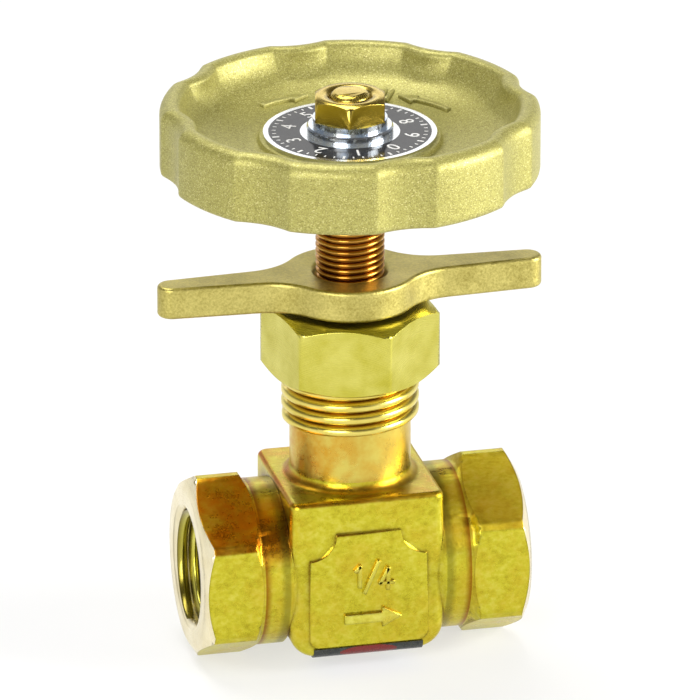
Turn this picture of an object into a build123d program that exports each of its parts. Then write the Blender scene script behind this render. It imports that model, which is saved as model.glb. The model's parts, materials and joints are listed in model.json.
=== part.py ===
# Forged brass needle valve with two female pipe ports, a union nut, a wing lock nut and a handwheel.
# Millimetres. The stem runs up the Z axis, the flow goes along +X, and Z = 0 is the lowest port corner.
from build123d import *
from math import cos, radians, sin, sqrt, tan
import os

os.makedirs("parts", exist_ok=True)

turning_room = 0.4              # how far a turned outline passes outside a hexagon's corners

# Ports: hexagons with a long edge at the top and at the bottom
port_span = 39.0                # end face to end face
port_flats = 19.8               # across flats
port_edge_setback = 0.6         # how far the flattened long edges cut into each flat
port_hex_length = 7.3
port_face_diameter = 18.6       # where the turned end face meets the chamfer
port_chamfer_angle = 32.0       # from the end face
port_thread_diameter = 13.157   # 1/4 taper pipe thread, major diameter at the mouth
port_thread_length = 10.5
port_mouth_diameter = 14.8
port_drill_cone = 2.4           # length of the cone at the bottom of the tapping hole
passage_diameter = 5.0
passage_drop = 3.0              # inlet passage below the port axis
passage_rise = 3.5              # outlet passage above the port axis
collar_diameter = 19.5          # round collar between a hexagon and the block
collar_shoulder = 1.2           # slope where the collar leaves the block

# Forged block
block_length = 18.3
block_depth = 18.4
block_above = 10.3              # top face above the port axis
block_below = 9.2
block_foot_radius = 3.2         # lower edges beside the ports
block_edge_radius = 1.2         # upright edges and the lower edges that they run on into
block_top_radius = 0.7
panel_size = 14.0
panel_proud = 0.35
panel_scoop_radius = 3.2        # concave corners at the panel's top
panel_corner_radius = 1.0
panel_centre_drop = 0.7         # panel centre below the port axis
neck_fillet = 1.3

# Neck, seat and stuffing box, as heights above the port axis
neck_diameter = 14.1            # root of the M16 x 1.5 thread
seat_height = 1.0
seat_orifice = 3.0
chamber_diameter = 8.0
chamber_top = 8.5
box_diameter = 10.5             # bore for the packing and the bonnet
fit = 0.05                      # radial clearance of turning and sliding fits
seated = 0.03                   # radial clearance of parts that stay put

# Packing stack, from the bottom up
packing_washer_thickness = 0.8
packing_ring_height = 1.5
packing_ring_names = ["packing_ring_lower", "packing_ring_middle", "packing_ring_upper"]
gland_height = 3.8
gland_relief = 1.2

# Bonnet bush and union nut
bonnet_bush_length = 9.5
bonnet_flange_thickness = 1.6
gasket_thickness = 0.5
nut_flats = 18.0
nut_height = 8.4
nut_roof = 2.0
nut_face_diameter = 17.3
nut_chamfer_angle = 30.0
nut_hole = 8.6
nut_mouth_diameter = 16.4
nut_mouth_depth = 0.9
nut_turn = -17.05               # degrees about Z at which the nut stands when tight

# Stem and needle
stem_root_diameter = 7.08       # root of the M8 x 0.75 thread
stem_shaft_diameter = 6.0
stem_thread_lead = 0.4          # thread starts this far above the packing gland
stem_shown = 12.4               # thread between the wing nut and the handwheel
stem_stud_diameter = 4.9
stem_end_diameter = 3.7
stem_end_above_nut = 0.35
drive_flats = 5.6               # square that drives the handwheel
drive_short = 0.2               # the square ends this far below the plate's seat
ball_diameter = 3.0
needle_half_angle = 20.0
needle_cone_diameter = 4.4
needle_point_diameter = 0.8
needle_head_diameter = 5.2
needle_head_height = 1.2
needle_shank_diameter = 3.1
needle_shank_length = 3.3
needle_head_gap = 0.3

# Wing lock nut
wing_gap = 0.4
wing_thickness = 3.8
wing_half_length = 22.75
wing_hub_diameter = 15.6
wing_arm_root = 2.8             # half width where an arm would meet the axis
wing_tip_radius = 1.7
wing_blend_radius = 7.0
wing_edge_radius = 0.45
wing_mouth_diameter = 9.3

# Handwheel
wheel_diameter = 43.9
wheel_height = 8.2
wheel_wall = 4.1                # rim thickness at the crest
wheel_floor = 3.1               # floor of the dish above the wheel's lower edge
wheel_web = 1.7
wheel_underside_wall = 2.6
wheel_crown_radius = 2.0
wheel_inner_radius = 1.2
wheel_flutes = 8
wheel_flute_angle = 18.5        # degrees of rim that one flute takes
wheel_flute_depth = 0.9
wheel_flute_start = 3.8         # degrees from +X to the first flute's middle
wheel_flute_blend = 2.6          # rounding where a flute meets a lobe, over the crown radius
wheel_boss_diameter = 21.0
wheel_boss_top = 4.1            # plate seat above the wheel's lower edge
wheel_hub_diameter = 12.0
wheel_hub_bottom = 0.9

# Dial plate, washers and wheel nut
plate_diameter = 20.0
plate_thickness = 0.5
washer_diameter = 10.0
washer_thickness = 0.9
spring_diameter = 8.6
spring_thickness = 0.9
spring_gap = 0.9
spring_gap_slant = 18.0         # degrees
wheel_nut_flats = 8.0
wheel_nut_height = 2.7
wheel_nut_face_diameter = 7.6
wheel_nut_turn = -13.5
wheel_nut_mouth_diameter = 5.6

# Label round the lower front edge of the block
label_length = 13.0
label_thickness = 0.15
label_under = 3.5

# Heights of the stack, from the port axis upwards
port_radius = port_flats / sqrt(3) - port_edge_setback / 2
flow = port_radius
block_top = flow + block_above
block_bottom = flow - block_below
seat = flow + seat_height
box_floor = flow + chamber_top
rings_bottom = box_floor + packing_washer_thickness
gland_bottom = rings_bottom + len(packing_ring_names) * packing_ring_height
gland_top = gland_bottom + gland_height
neck_top = gland_top + bonnet_bush_length
flange_bottom = neck_top + gasket_thickness
roof_bottom = flange_bottom + bonnet_flange_thickness
nut_top = roof_bottom + nut_roof
nut_bottom = nut_top - nut_height
wing_bottom = nut_top + wing_gap
wing_top = wing_bottom + wing_thickness
wheel_bottom = wing_top + stem_shown
hub_bottom = wheel_bottom + wheel_hub_bottom
plate_bottom = wheel_bottom + wheel_boss_top
washer_bottom = plate_bottom + plate_thickness
spring_bottom = washer_bottom + washer_thickness
wheel_nut_bottom = spring_bottom + spring_thickness
wheel_nut_top = wheel_nut_bottom + wheel_nut_height
stem_top = wheel_nut_top + stem_end_above_nut
port_face = port_span / 2
port_inner = port_face - port_hex_length
box_radius = box_diameter / 2
thread_radius = port_thread_diameter / 2
mouth_depth = port_mouth_diameter / 2 - thread_radius
passage_radius = passage_diameter / 2
thread_end = port_face - mouth_depth - port_thread_length


def write(piece, label):
    """Names a finished piece and writes it to its own file."""
    piece.part.label = label
    export_step(piece.part, f"parts/{label}.step")


def ring_sketch(outer_diameter, inner_diameter):
    """Adds a flat ring to the sketch that is open."""
    Circle(outer_diameter / 2)
    Circle(inner_diameter / 2, mode=Mode.SUBTRACT)


def turned_outline(length, flats, face_diameter, angle, both_ends=True):
    """Half section (radius, height) of the turning that takes the corners off a hexagon bar's ends."""
    face_radius = face_diameter / 2
    middle_radius = flats / sqrt(3) + turning_room
    drop = (middle_radius - face_radius) * tan(radians(angle))
    foot = [(face_radius, 0), (middle_radius, drop)] if both_ends else [(middle_radius, 0)]
    return [(0, 0), *foot, (middle_radius, length - drop), (face_radius, length), (0, length)]


def stepped_outline(steps):
    """Half section of a stepped bore: each step is its radius, its bottom and its top."""
    wall = [point for radius, low, high in steps for point in ((radius, low), (radius, high))]
    return [(0, steps[0][1]), *wall, (0, steps[-1][2])]


# ---- Body: two hexagon ports, collars, the forged block and the neck, in one forging
with BuildPart() as port_hexagons:
    for side in (-1, 1):
        with BuildSketch(Plane.YZ.offset(side * port_inner)):
            with Locations((0, flow)):
                RegularPolygon(port_flats / 2, 6, major_radius=False, rotation=90)
            chamfer(vertices(), port_edge_setback)
        extrude(amount=side * port_hex_length)
    with BuildSketch(Plane.XZ):
        for side in (-1, 1):
            outline = turned_outline(
                port_hex_length, port_flats, port_face_diameter, port_chamfer_angle
            )
            placed = [(side * (port_inner + along), flow + out) for out, along in outline]
            with BuildLine():
                Polyline(*placed, close=True)
            make_face()
    revolve(axis=Axis((0, 0, flow), (1, 0, 0)), mode=Mode.INTERSECT)

with BuildPart() as body:
    with BuildSketch(Plane.XZ):
        with Locations((0, (block_top + block_bottom) / 2)):
            Rectangle(block_length, block_top - block_bottom)
        fillet(vertices().group_by(Axis.Y)[0], block_foot_radius)
    extrude(amount=block_depth / 2, both=True)
    fillet(edges().filter_by(Axis.Z), block_edge_radius)    # runs on round the foot
    fillet(edges().group_by(Axis.Z)[-1], block_top_radius)
    with BuildSketch(Plane.XZ):
        collar_start = block_length / 2 - block_edge_radius
        collar_radius = collar_diameter / 2
        for side in (-1, 1):
            with BuildLine():
                Polyline(
                    (side * collar_start, flow),
                    (side * collar_start, flow + collar_radius - collar_shoulder),
                    (side * (collar_start + collar_shoulder), flow + collar_radius),
                    (side * (port_inner + port_hex_length / 2), flow + collar_radius),
                    (side * (port_inner + port_hex_length / 2), flow),
                    close=True,
                )
            make_face()
    revolve(axis=Axis((0, 0, flow), (1, 0, 0)))
    add(port_hexagons.part)
    with BuildSketch(Plane.XY.offset(flow)):
        Circle(neck_diameter / 2)
    extrude(amount=neck_top - flow)
    neck_foot = edges().filter_by(GeomType.CIRCLE).filter_by(
        lambda e: abs(e.radius - neck_diameter / 2) < fit and abs(e.center().Z - block_top) < fit
    )
    fillet(neck_foot, neck_fillet)
    # Raised panel on the front and on the back, with scooped upper corners
    for facing in (-1, 1):
        with BuildSketch(Plane.XZ.offset(-facing * (block_depth / 2 - panel_proud))):
            with Locations((0, flow - panel_centre_drop)):
                Rectangle(panel_size, panel_size)
                with Locations((panel_size / 2, panel_size / 2), (-panel_size / 2, panel_size / 2)):
                    Circle(panel_scoop_radius, mode=Mode.SUBTRACT)
            fillet(vertices().group_by(Axis.Y)[0], panel_corner_radius)
        extrude(amount=-facing * 2 * panel_proud)
    # Tapping holes and their mouths
    with BuildSketch(Plane.XZ):
        for side in (-1, 1):
            with BuildLine():
                Polyline(
                    (side * port_face, flow),
                    (side * port_face, flow + port_mouth_diameter / 2),
                    (side * (port_face - mouth_depth), flow + thread_radius),
                    (side * thread_end, flow + thread_radius),
                    (side * (thread_end - port_drill_cone), flow),
                    close=True,
                )
            make_face()
    revolve(axis=Axis((0, 0, flow), (1, 0, 0)), mode=Mode.SUBTRACT)
    # Inlet passage to below the seat, outlet passage from the chamber
    with BuildSketch(Plane.YZ.offset(-thread_end - fit)):
        with Locations((0, flow - passage_drop)):
            Circle(passage_radius)
    extrude(amount=thread_end + passage_radius, mode=Mode.SUBTRACT)
    with BuildSketch(Plane.YZ):
        with Locations((0, flow + passage_rise)):
            Circle(passage_radius)
    extrude(amount=thread_end + fit, mode=Mode.SUBTRACT)
    # Seat orifice, chamber and stuffing box, as one stepped bore
    with BuildSketch(Plane.XZ):
        steps = [
            (seat_orifice / 2, flow - passage_drop, seat),
            (chamber_diameter / 2, seat, box_floor),
            (box_radius, box_floor, neck_top),
        ]
        with BuildLine():
            Polyline(*stepped_outline(steps), close=True)
        make_face()
    revolve(axis=Axis.Z, mode=Mode.SUBTRACT)

# ---- Packing stack in the stuffing box
stack_outer = box_diameter - 2 * seated
with BuildPart() as packing_washer:
    with BuildSketch(Plane.XY.offset(box_floor)):
        ring_sketch(stack_outer, stem_shaft_diameter + 2 * fit)
    extrude(amount=packing_washer_thickness)

ring_parts = []
for place in range(len(packing_ring_names)):
    with BuildPart() as packing_ring:
        with BuildSketch(Plane.XY.offset(rings_bottom + place * packing_ring_height)):
            ring_sketch(stack_outer, stem_shaft_diameter + 2 * seated)
        extrude(amount=packing_ring_height)
    ring_parts.append(packing_ring)

with BuildPart() as packing_gland:
    with BuildSketch(Plane.XY.offset(gland_bottom)):
        ring_sketch(stack_outer, stem_shaft_diameter + 2 * fit)
    extrude(amount=gland_height)
    chamfer(edges().group_by(Axis.Z)[-1].sort_by(SortBy.RADIUS)[-1], gland_relief / 2)

# ---- Bonnet bush, which carries the stem's thread, and its gasket
with BuildPart() as bonnet:
    with BuildSketch(Plane.XY.offset(gland_top)):
        Circle(box_radius - seated)
    extrude(amount=flange_bottom - gland_top)
    with BuildSketch(Plane.XY.offset(flange_bottom)):
        Circle(neck_diameter / 2)
    extrude(amount=bonnet_flange_thickness)
    with BuildSketch(Plane.XY.offset(gland_top)):
        Circle(stem_root_diameter / 2 + fit)
    extrude(amount=roof_bottom - gland_top, mode=Mode.SUBTRACT)

with BuildPart() as bonnet_gasket:
    with BuildSketch(Plane.XY.offset(neck_top)):
        ring_sketch(neck_diameter, box_diameter)
    extrude(amount=gasket_thickness)

# ---- Union nut, screwed on the neck, clamps the bonnet
with BuildPart() as union_nut:
    with BuildSketch(Plane.XY.offset(nut_bottom)):
        RegularPolygon(nut_flats / 2, 6, major_radius=False, rotation=nut_turn)
    extrude(amount=nut_height)
    with BuildSketch(Plane.XZ):
        outline = turned_outline(nut_height, nut_flats, nut_face_diameter, nut_chamfer_angle)
        with BuildLine():
            Polyline(*[(out, nut_bottom + along) for out, along in outline], close=True)
        make_face()
    revolve(axis=Axis.Z, mode=Mode.INTERSECT)
    with BuildSketch(Plane.XZ):
        steps = [
            (nut_mouth_diameter / 2, nut_bottom, nut_bottom + nut_mouth_depth),
            (neck_diameter / 2 + fit, nut_bottom + nut_mouth_depth, roof_bottom),
            (nut_hole / 2, roof_bottom, nut_top),
        ]
        with BuildLine():
            Polyline(*stepped_outline(steps), close=True)
        make_face()
    revolve(axis=Axis.Z, mode=Mode.SUBTRACT)

# ---- Needle, which lifts without turning, and the ball that takes the stem's thrust
slope = tan(radians(needle_half_angle))
seat_contact = seat_orifice / 2 - fit
cone_top = seat + (needle_cone_diameter / 2 - seat_contact) / slope
point_height = seat - (seat_contact - needle_point_diameter / 2) / slope
head_top = cone_top + needle_head_height
shank_top = head_top + needle_shank_length
stem_bottom = head_top + needle_head_gap
ball_gap = seated
socket_top = shank_top + ball_diameter + 2 * ball_gap
with BuildPart() as needle_tip:
    with BuildSketch(Plane.XZ):
        with BuildLine():
            Polyline(
                (0, point_height),
                (needle_point_diameter / 2, point_height),
                (needle_cone_diameter / 2, cone_top),
                (needle_head_diameter / 2, cone_top),
                (needle_head_diameter / 2, head_top),
                (needle_shank_diameter / 2, head_top),
                (needle_shank_diameter / 2, shank_top),
                (0, shank_top),
                close=True,
            )
        make_face()
    revolve(axis=Axis.Z)

with BuildPart() as thrust_ball:
    with BuildSketch(Plane.XZ):
        with Locations((0, shank_top + ball_gap + ball_diameter / 2)):
            Circle(ball_diameter / 2)
            Rectangle(ball_diameter, ball_diameter, align=(Align.MAX, Align.CENTER), mode=Mode.SUBTRACT)
    revolve(axis=Axis.Z)

# ---- Stem: plain shaft in the packing, threaded length, driving square and stud
thread_start = gland_top + stem_thread_lead
drive_top = plate_bottom - drive_short
with BuildPart() as stem:
    with BuildSketch(Plane.XY.offset(stem_bottom)):
        Circle(stem_shaft_diameter / 2)
    extrude(amount=thread_start - stem_bottom)
    with BuildSketch(Plane.XY.offset(thread_start)):
        Circle(stem_root_diameter / 2)
    extrude(amount=hub_bottom - thread_start)
    with BuildSketch(Plane.XY.offset(hub_bottom)):
        Rectangle(drive_flats, drive_flats)
        Circle(stem_root_diameter / 2, mode=Mode.INTERSECT)
    extrude(amount=drive_top - hub_bottom)
    with BuildSketch(Plane.XY.offset(drive_top)):
        Circle(stem_stud_diameter / 2)
    extrude(amount=stem_top - drive_top)
    end_edge = edges().filter_by(GeomType.CIRCLE).group_by(Axis.Z)[-1]
    chamfer(end_edge, (stem_stud_diameter - stem_end_diameter) / 2)
    with BuildSketch(Plane.XY.offset(stem_bottom)):
        Circle(needle_shank_diameter / 2 + fit)
    extrude(amount=socket_top - stem_bottom, mode=Mode.SUBTRACT)

# ---- Wing lock nut
with BuildPart() as lock_wing:
    tip_centre = wing_half_length - wing_tip_radius
    with BuildSketch(Plane.XY.offset(wing_bottom)):
        for side in (-1, 1):
            with BuildLine():
                Polyline(
                    (0, -wing_arm_root),
                    (side * tip_centre, -wing_tip_radius),
                    (side * tip_centre, wing_tip_radius),
                    (0, wing_arm_root),
                    close=True,
                )
            make_face()
            with Locations((side * tip_centre, 0)):
                Circle(wing_tip_radius)
        Circle(wing_hub_diameter / 2)
        hub_corners = vertices().filter_by(lambda v: abs(v.X**2 + v.Y**2 - (wing_hub_diameter / 2) ** 2) < fit)
        fillet(hub_corners, wing_blend_radius)
    extrude(amount=wing_thickness)
    fillet(edges().group_by(Axis.Z)[-1] + edges().group_by(Axis.Z)[0], wing_edge_radius)
    with BuildSketch(Plane.XY.offset(wing_bottom)):
        Circle(stem_root_diameter / 2 + fit)
    extrude(amount=wing_thickness, mode=Mode.SUBTRACT)
    mouth_edges = edges().filter_by(GeomType.CIRCLE).filter_by(
        lambda e: abs(e.radius - stem_root_diameter / 2 - fit) < fit / 2
    )
    chamfer(mouth_edges, (wing_mouth_diameter - stem_root_diameter) / 2 - fit)

# ---- Handwheel: fluted rim, dished top, hollow underside and a boss for the plate
half_flute = wheel_diameter / 2 * sin(radians(wheel_flute_angle / 2))
rim_sag = wheel_diameter / 2 * (1 - cos(radians(wheel_flute_angle / 2)))
flute_sag = wheel_flute_depth - rim_sag
flute_radius = (half_flute**2 + flute_sag**2) / (2 * flute_sag)
flute_distance = wheel_diameter / 2 - wheel_flute_depth + flute_radius
with BuildPart() as handwheel:
    with BuildSketch(Plane.XY.offset(wheel_bottom)):
        Circle(wheel_diameter / 2)
        with PolarLocations(flute_distance, wheel_flutes, start_angle=wheel_flute_start):
            Circle(flute_radius, mode=Mode.SUBTRACT)
        fillet(vertices(), wheel_flute_blend)
    extrude(amount=wheel_height)
    fillet(edges().group_by(Axis.Z)[-1], wheel_crown_radius)
    with BuildSketch(Plane.XY.offset(wheel_bottom + wheel_floor)):
        Circle(wheel_diameter / 2 - wheel_wall)
        with PolarLocations(flute_distance, wheel_flutes, start_angle=wheel_flute_start):
            Circle(flute_radius + wheel_wall, mode=Mode.SUBTRACT)
        fillet(vertices(), wheel_flute_blend)
    extrude(amount=wheel_height - wheel_floor, mode=Mode.SUBTRACT)
    fillet(edges().group_by(Axis.Z)[-1], wheel_inner_radius)
    with BuildSketch(Plane.XY.offset(wheel_bottom)):
        Circle(wheel_diameter / 2 - wheel_flute_depth - wheel_underside_wall)
    extrude(amount=wheel_floor - wheel_web, mode=Mode.SUBTRACT)
    with BuildSketch(Plane.XY.offset(wheel_bottom + wheel_floor - wheel_web)):
        Circle(wheel_boss_diameter / 2)
    extrude(amount=wheel_boss_top - wheel_floor + wheel_web)
    with BuildSketch(Plane.XY.offset(hub_bottom)):
        Circle(wheel_hub_diameter / 2)
    extrude(amount=plate_bottom - hub_bottom)
    with BuildSketch(Plane.XY.offset(hub_bottom)):
        Rectangle(drive_flats + 2 * seated, drive_flats + 2 * seated)
        Circle(stem_root_diameter / 2 + seated, mode=Mode.INTERSECT)
    extrude(amount=plate_bottom - hub_bottom, mode=Mode.SUBTRACT)

# ---- Dial plate, washers and nut on the stud
stud_hole = stem_stud_diameter + 2 * seated
with BuildPart() as dial_plate:
    with BuildSketch(Plane.XY.offset(plate_bottom)):
        ring_sketch(plate_diameter, stud_hole)
    extrude(amount=plate_thickness)

with BuildPart() as flat_washer:
    with BuildSketch(Plane.XY.offset(washer_bottom)):
        ring_sketch(washer_diameter, stud_hole)
    extrude(amount=washer_thickness)
    chamfer(edges().group_by(Axis.Z)[-1].sort_by(SortBy.RADIUS)[-1], washer_thickness / 5)

with BuildPart() as spring_washer:
    with BuildSketch(Plane.XY.offset(spring_bottom)):
        ring_sketch(spring_diameter, stud_hole)
        with Locations((0, spring_diameter / 4 + stud_hole / 4)):
            Rectangle(spring_gap, spring_diameter / 2, rotation=-spring_gap_slant, mode=Mode.SUBTRACT)
    extrude(amount=spring_thickness)

with BuildPart() as wheel_nut:
    with BuildSketch(Plane.XY.offset(wheel_nut_bottom)):
        RegularPolygon(wheel_nut_flats / 2, 6, major_radius=False, rotation=-90 + wheel_nut_turn)
    extrude(amount=wheel_nut_height)
    with BuildSketch(Plane.XZ):
        outline = turned_outline(
            wheel_nut_height, wheel_nut_flats, wheel_nut_face_diameter, nut_chamfer_angle, False
        )
        with BuildLine():
            Polyline(*[(out, wheel_nut_bottom + along) for out, along in outline], close=True)
        make_face()
    revolve(axis=Axis.Z, mode=Mode.INTERSECT)
    with BuildSketch(Plane.XY.offset(wheel_nut_bottom)):
        Circle(stud_hole / 2)
    extrude(amount=wheel_nut_height, mode=Mode.SUBTRACT)
    nut_mouth = edges().filter_by(GeomType.CIRCLE).filter_by(
        lambda e: abs(e.radius - stud_hole / 2) < seated / 2
    )
    chamfer(nut_mouth.group_by(Axis.Z)[-1], (wheel_nut_mouth_diameter - stud_hole) / 2)

# ---- Label that wraps the rounded lower front edge of the block
edge_y = -block_depth / 2 + block_edge_radius
edge_z = block_bottom + block_edge_radius
label_radius = block_edge_radius + label_thickness
with BuildPart() as base_label:
    with BuildSketch(Plane.YZ.offset(-label_length / 2)):
        with BuildLine():
            front_arc = CenterArc((edge_y, edge_z), label_radius, 180, 90)
            under = Line(front_arc @ 1, (edge_y + label_under, block_bottom - label_thickness))
            step_up = Line(under @ 1, (edge_y + label_under, block_bottom))
            Line(step_up @ 1, (edge_y, block_bottom))
            inner_arc = CenterArc((edge_y, edge_z), block_edge_radius, 270, -90)
            Line(inner_arc @ 1, front_arc @ 0)
        make_face()
    extrude(amount=label_length)

write(body, "body")
write(packing_washer, "packing_washer")
for packing_ring, packing_ring_name in zip(ring_parts, packing_ring_names):
    write(packing_ring, packing_ring_name)
write(packing_gland, "packing_gland")
write(bonnet, "bonnet")
write(bonnet_gasket, "bonnet_gasket")
write(union_nut, "union_nut")
write(needle_tip, "needle_tip")
write(thrust_ball, "thrust_ball")
write(stem, "stem")
write(lock_wing, "lock_wing")
write(handwheel, "handwheel")
write(dial_plate, "dial_plate")
write(flat_washer, "flat_washer")
write(spring_washer, "spring_washer")
write(wheel_nut, "wheel_nut")
write(base_label, "base_label")
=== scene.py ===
import json
from math import cos, pi, radians, sin, sqrt

import bmesh
import bpy
from mathutils import Matrix, Vector


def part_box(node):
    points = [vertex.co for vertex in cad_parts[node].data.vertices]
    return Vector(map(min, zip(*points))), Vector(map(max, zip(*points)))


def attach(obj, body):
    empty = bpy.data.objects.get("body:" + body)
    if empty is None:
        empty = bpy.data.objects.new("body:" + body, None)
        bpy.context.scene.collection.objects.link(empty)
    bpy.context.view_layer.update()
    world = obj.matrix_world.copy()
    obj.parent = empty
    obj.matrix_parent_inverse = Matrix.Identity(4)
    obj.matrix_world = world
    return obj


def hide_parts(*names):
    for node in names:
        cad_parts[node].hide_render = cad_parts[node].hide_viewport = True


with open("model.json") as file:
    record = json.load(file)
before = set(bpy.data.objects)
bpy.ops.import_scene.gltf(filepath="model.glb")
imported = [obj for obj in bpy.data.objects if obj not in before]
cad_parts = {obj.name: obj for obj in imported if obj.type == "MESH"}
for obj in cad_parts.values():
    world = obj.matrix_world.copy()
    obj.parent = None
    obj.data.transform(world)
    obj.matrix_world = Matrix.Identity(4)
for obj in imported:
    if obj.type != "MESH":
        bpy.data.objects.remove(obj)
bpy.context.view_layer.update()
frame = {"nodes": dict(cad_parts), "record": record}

mm = 0.001
print("frame loaded:", len(frame["nodes"]), "nodes")

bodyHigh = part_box("body")[1]
unionLow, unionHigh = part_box("union_nut")
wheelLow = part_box("handwheel")[0]
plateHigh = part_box("dial_plate")[1]
inletMount = next(m for m in frame["record"]["mounts"] if m["name"] == "inlet")
flowHeight = inletMount["pos_m"][2]
portFace = bodyHigh.x                      # a port's end face, from the stem's axis
hexLength = 7.3 * mm                       # a port's hexagon, along the flow
hexInner = portFace - hexLength            # where that hexagon meets its round collar


# Short helpers for building node trees.
def link(tree, source, target):
    tree.links.new(source, target)


def node(tree, kind, **settings):
    made = tree.nodes.new(kind)
    for name, value in settings.items():
        setattr(made, name, value)
    return made


# Gives a socket a number, a colour or another node's output.
def feed(tree, value, socket):
    if isinstance(value, tuple):
        socket.default_value = (*value, 1)
    elif isinstance(value, (int, float)):
        socket.default_value = value
    else:
        link(tree, value, socket)


def noise(tree, coords, scale, detail=3.0, rough=0.55, stretch=None):
    made = node(tree, "ShaderNodeTexNoise")
    made.inputs["Scale"].default_value = scale
    made.inputs["Detail"].default_value = detail
    made.inputs["Roughness"].default_value = rough
    if stretch:
        mapping = node(tree, "ShaderNodeMapping")
        mapping.inputs["Scale"].default_value = stretch
        link(tree, coords, mapping.inputs["Vector"])
        coords = mapping.outputs["Vector"]
    link(tree, coords, made.inputs["Vector"])
    return made.outputs["Fac"]


def ramp(tree, source, stops):
    made = node(tree, "ShaderNodeValToRGB")
    first, last = made.color_ramp.elements[0], made.color_ramp.elements[1]
    first.position, first.color = stops[0][0], (*stops[0][1], 1)
    last.position, last.color = stops[-1][0], (*stops[-1][1], 1)
    for position, colour in stops[1:-1]:
        made.color_ramp.elements.new(position).color = (*colour, 1)
    link(tree, source, made.inputs["Fac"])
    return made.outputs["Color"]


def span(tree, source, low, high, outLow=0.0, outHigh=1.0):
    made = node(tree, "ShaderNodeMapRange")
    made.inputs["From Min"].default_value = low
    made.inputs["From Max"].default_value = high
    made.inputs["To Min"].default_value = outLow
    made.inputs["To Max"].default_value = outHigh
    link(tree, source, made.inputs["Value"])
    return made.outputs["Result"]


def mixColour(tree, factor, first, second):
    made = node(tree, "ShaderNodeMix", data_type="RGBA")
    link(tree, factor, made.inputs["Factor"])
    feed(tree, first, made.inputs[6])
    feed(tree, second, made.inputs[7])
    return made.outputs[2]


# One sum on numbers and sockets, in a material or in a Geometry Nodes tree.
def maths(tree, operation, *values):
    made = node(tree, "ShaderNodeMath", operation=operation)
    for value, socket in zip(values, made.inputs):
        feed(tree, value, socket)
    return made.outputs[0]


def joinAxes(tree, x=0.0, y=0.0, z=0.0):
    made = node(tree, "ShaderNodeCombineXYZ")
    for value, socket in zip((x, y, z), made.inputs):
        feed(tree, value, socket)
    return made.outputs[0]


def bump(tree, height, shader, strength, distance, after=None):
    made = node(tree, "ShaderNodeBump")
    made.inputs["Strength"].default_value = strength
    made.inputs["Distance"].default_value = distance
    link(tree, height, made.inputs["Height"])
    if after:
        link(tree, after, made.inputs["Normal"])
    link(tree, made.outputs["Normal"], shader.inputs["Normal"])
    return made.outputs["Normal"]


def newMaterial(name, metallic=1.0):
    made = bpy.data.materials.new(name)
    made.use_nodes = True
    tree = made.node_tree
    shader = tree.nodes["Principled BSDF"]
    shader.inputs["Metallic"].default_value = metallic
    coords = node(tree, "ShaderNodeTexCoord").outputs["Object"]
    return made, tree, shader, coords


edgeSamples = 6                            # rays that the corner and crevice nodes may use


# Rounds sharp corners a little in the shading.
def softNormal(tree, radius):
    made = node(tree, "ShaderNodeBevel", samples=edgeSamples)
    made.inputs["Radius"].default_value = radius
    return made.outputs["Normal"]


# How near a point is to a convex or concave edge, from 0 on a flat to 1 on the edge.
def edgeShare(tree, radius, reach=0.14):
    flat = node(tree, "ShaderNodeNewGeometry").outputs["Normal"]
    compare = node(tree, "ShaderNodeVectorMath", operation="DOT_PRODUCT")
    link(tree, softNormal(tree, radius), compare.inputs[0])
    link(tree, flat, compare.inputs[1])
    return span(tree, compare.outputs["Value"], 1.0, 1.0 - reach)


# How deep a point sits in a crevice, from 0 in the open to 1 inside.
def creviceShare(tree, distance):
    made = node(tree, "ShaderNodeAmbientOcclusion", samples=edgeSamples, only_local=True)
    made.inputs["Distance"].default_value = distance
    return span(tree, made.outputs["AO"], 0.94, 0.5)


def splitAxes(tree, vector):
    parts = node(tree, "ShaderNodeSeparateXYZ")
    link(tree, vector, parts.inputs[0])
    return parts.outputs["X"], parts.outputs["Y"], parts.outputs["Z"]


def axisRadius(tree, first, second):
    squares = [maths(tree, "MULTIPLY", a, a) for a in (first, second)]
    return maths(tree, "SQRT", maths(tree, "ADD", *squares))


brassLook = {
    "forged": ((0.45, 0.385, 0.022), (0.59, 0.53, 0.036), (0.68, 0.62, 0.085)),
    "mark": ((0.58, 0.52, 0.05), (0.70, 0.65, 0.09), (0.80, 0.76, 0.16)),
    "warm": (0.60, 0.37, 0.025),
    "filmAndShade": (0.54, 0.17, 0.004),           # orange skin left on the forging, also painted shade on upward faces
    "creviceShade": (0.12, 0.04, 0.003),
    "grooveShade": (0.30, 0.11, 0.006),
    # colour of the painted dark reflection along the forging's edges and of the painted shade by the
    # collars
    "edge": (0.20, 0.18, 0.018),
    "machined": (0.66, 0.54, 0.11),        # neck, cleaned up above the forged block
    "neckFilmAndShade": (0.60, 0.32, 0.03),
    "turned": ((0.52, 0.47, 0.055), (0.66, 0.61, 0.13)),
    "portTurned": ((0.80, 0.70, 0.42), (0.92, 0.84, 0.60)),
    "cast": ((0.36, 0.30, 0.07), (0.62, 0.54, 0.17)),
    "castEdgeHighlight": (0.72, 0.62, 0.30),
    "thread": ((0.40, 0.18, 0.025), (0.60, 0.32, 0.06)),
}


# Where the forging's finish changes, in mm. grooveShade (painted shade where a hexagon meets its collar)
# and valleyShade (painted shade where the collar meets the block) are measured outwards from a hexagon's
# inner end.
forgingBands = {
    "neckFoot": 15.3,                      # down from the neck's rim
    "grooveShade": (-0.75, -0.1, 0.02, 0.12),
    "valleyShade": (-3.05, -2.8, -2.3, -1.7),
}


# Fades in between the first two places along an axis and out between the last two.
def band(tree, source, places):
    low, full, ebb, high = [hexInner + place * mm for place in places]
    return maths(tree, "MULTIPLY", span(tree, source, low, full), span(tree, source, high, ebb))


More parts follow.
